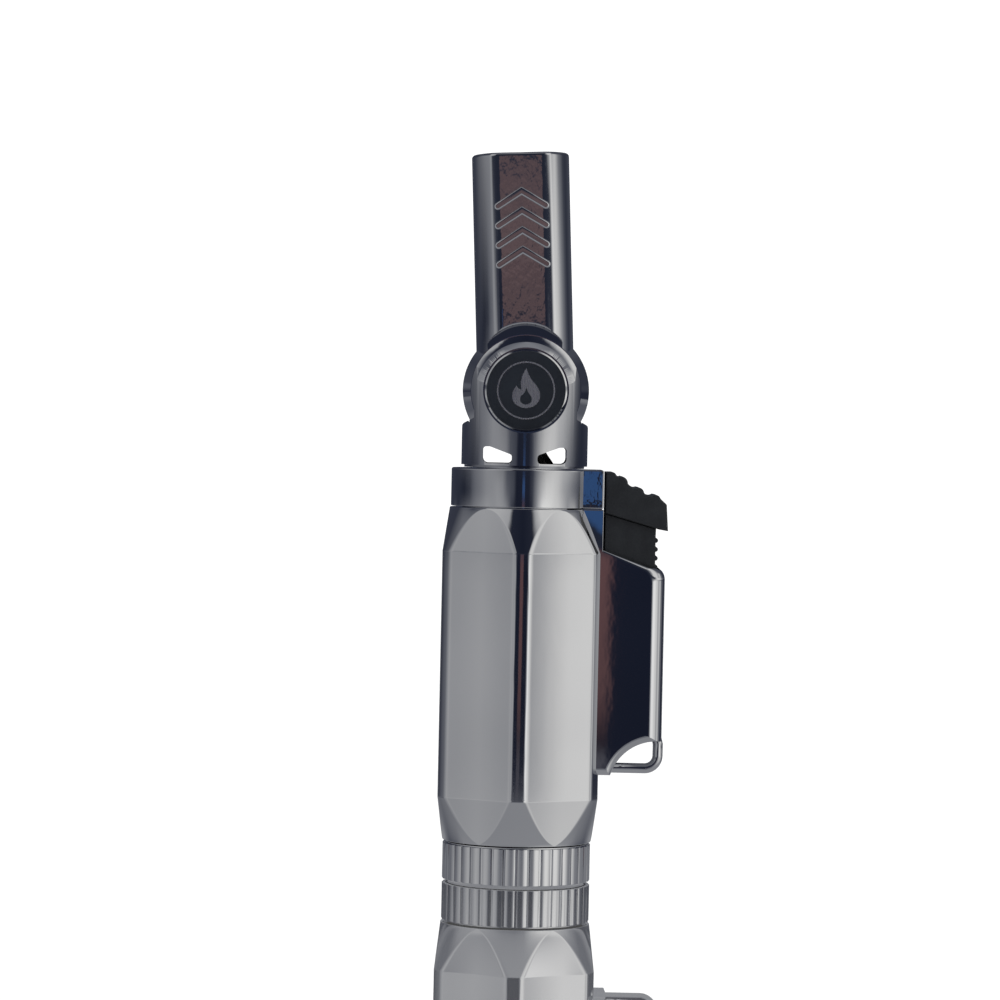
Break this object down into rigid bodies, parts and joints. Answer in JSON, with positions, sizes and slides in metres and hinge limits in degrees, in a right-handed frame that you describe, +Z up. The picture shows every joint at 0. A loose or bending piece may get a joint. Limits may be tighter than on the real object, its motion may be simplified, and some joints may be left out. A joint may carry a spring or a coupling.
{
  "type": "pocket torch lighter",
  "caption": "Refillable butane torch with a six-sided polished body, side thumb trigger, knurled base ring, lanyard loop and a round nozzle that tilts on a fork.",
  "frame": {"origin": "centre of the foot's underside, on the body's long axis", "axes": "+Z up along the body, +X towards the thumb trigger, -Y towards the badge side that faces the viewer"},
  "size_m": [0.0449, 0.0352, 0.1456],
  "materials": {
    "gunmetal": "mirror-polished dark nickel plating",
    "steel": "fine brushed",
    "burner_steel": "heat-tinted, fine turned",
    "brass": "turned",
    "trigger_black": "fine moulded texture",
    "tank_plastic": "smooth moulded",
    "badge_enamel": "satin dark enamel",
    "rubber": "smooth extruded",
    "ceramic": "unglazed"
  },
  "bodies": {
    "body": {"base_plate": "gunmetal", "base_screw_left": "steel", "base_screw_right": "steel", "fill_valve_body": "brass", "body_shell": "gunmetal", "lanyard_loop": "gunmetal", "fuel_tank": "tank_plastic", "tank_seal": "rubber", "tank_cap": "tank_plastic", "outlet_valve_body": "brass", "valve_gland": "brass", "lever_bracket": "steel", "lever_pin": "steel", "piezo_housing": "trigger_black", "collar_cap": "gunmetal", "pivot_fork": "gunmetal", "fork_nut": "steel", "swivel_core": "brass", "gas_hose": "rubber", "ignition_wire": "rubber", "front_badge": "badge_enamel", "front_pivot_pin": "steel", "front_friction_washer": "steel", "rear_badge": "badge_enamel", "rear_pivot_pin": "steel", "rear_friction_washer": "steel"},
    "head": {"nozzle_barrel": "gunmetal", "muzzle_liner": "burner_steel", "burner_tube": "brass", "burner_jet": "brass", "gas_pipe": "brass", "flame_holder": "burner_steel", "electrode_tube": "ceramic", "spark_electrode": "steel"},
    "trigger": {"trigger_cap": "trigger_black", "trigger_stem": "trigger_black", "piezo_plunger": "tank_plastic", "trigger_spring": "steel"},
    "lever": {"valve_lever": "steel"},
    "outlet_stem": {"valve_stem": "brass", "valve_spring": "steel"},
    "adjuster": {"adjuster_ring": "gunmetal"},
    "regulator": {"regulator_pin": "steel"},
    "fill_stem": {"fill_valve_stem": "brass", "fill_valve_spring": "steel"}
  },
  "joints": [
    {"name": "head_tilt", "type": "hinge", "parent": "body", "child": "head", "pos_m": [0, 0, 0.0981], "axis": [0, 1, 0], "range_deg": [-57.5, 62.5]},
    {"name": "trigger_press", "type": "slide", "parent": "body", "child": "trigger", "axis": [0, 0, -1], "range_m": [0, 0.0045], "stiffness_N_per_m": 900, "springref_m": -0.004, "deforming": ["trigger_spring"]},
    {"name": "lever_rock", "type": "hinge", "parent": "body", "child": "lever", "pos_m": [0.0046, 0, 0.0687], "axis": [0, 1, 0], "range_deg": [0, 24.5]},
    {"name": "outlet_stem_lift", "type": "slide", "parent": "body", "child": "outlet_stem", "axis": [0, 0, 1], "range_m": [0, 0.0014], "deforming": ["valve_spring"]},
    {"name": "adjuster_turn", "type": "hinge", "parent": "body", "child": "adjuster", "pos_m": [0, 0, 0.004], "axis": [0, 0, 1], "range_deg": [-135, 135]},
    {"name": "regulator_lift", "type": "slide", "parent": "body", "child": "regulator", "axis": [0, 0, 1], "range_m": [-0.00062, 0.00062]},
    {"name": "fill_stem_press", "type": "slide", "parent": "body", "child": "fill_stem", "axis": [0, 0, 1], "range_m": [0, 0.0012], "stiffness_N_per_m": 300, "springref_m": -0.002, "deforming": ["fill_valve_spring"]}
  ],
  "couplings": [
    {"joint": "lever_rock", "follows": "trigger_press", "rad_per_m": 94.5},
    {"joint": "outlet_stem_lift", "follows": "trigger_press", "ratio": 0.3},
    {"joint": "regulator_lift", "follows": "adjuster_turn", "m_per_rad": 0.00025465}
  ]
}
